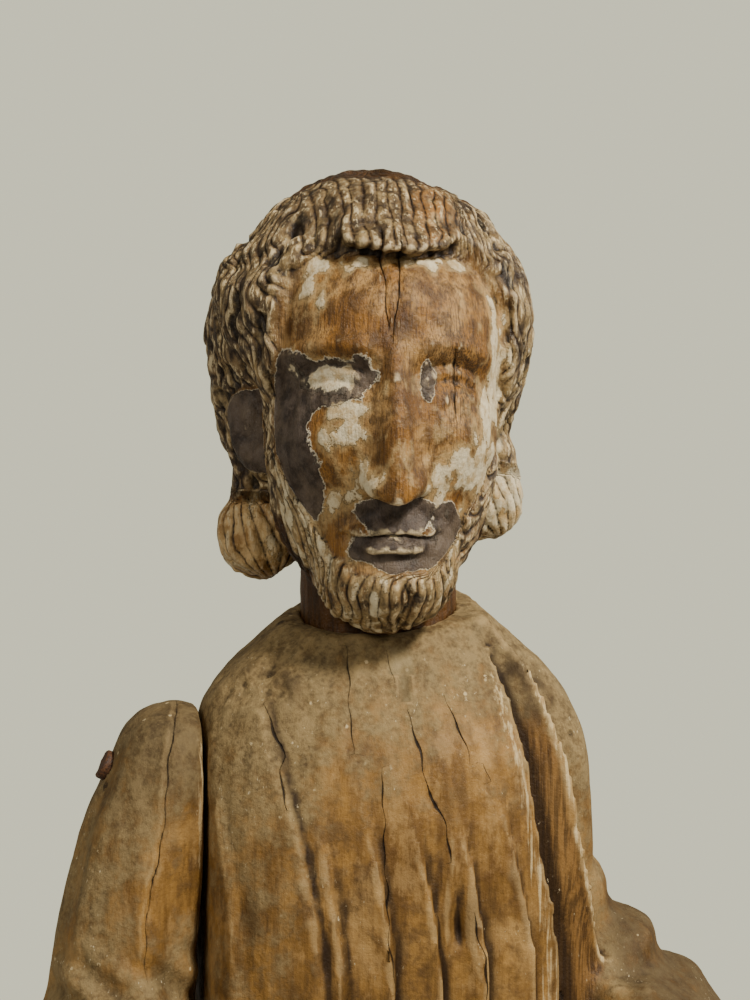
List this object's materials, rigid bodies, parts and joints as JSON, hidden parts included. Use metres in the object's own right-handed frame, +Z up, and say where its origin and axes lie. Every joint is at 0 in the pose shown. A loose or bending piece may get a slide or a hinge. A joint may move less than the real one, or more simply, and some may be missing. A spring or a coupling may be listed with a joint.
{
  "type": "carved wooden saint statue",
  "caption": "Standing carved saint in a robe and mantle on a low plinth, with rolled hair curls and a short beard; stands on its own as a display figure.",
  "frame": {"origin": "centre of the plinth's underside, under the body's axis", "axes": "+Z up the figure, the face looks along -Y, the figure's own left is +X"},
  "size_m": [0.352, 0.3133, 1.1081],
  "materials": {
    "robe_wood": "bare carved wood, dusty grey-brown patina, rubbed ridges",
    "head_wood": "waxed carved wood with flaking paint and gesso remains",
    "plinth_wood": "dark, worn, matt wood",
    "peg_wood": "dark oak end grain"
  },
  "bodies": {
    "root": {"plinth": "plinth_wood", "body": "robe_wood", "head": "head_wood", "right_arm": "robe_wood", "arm_peg": "peg_wood"}
  },
  "joints": []
}
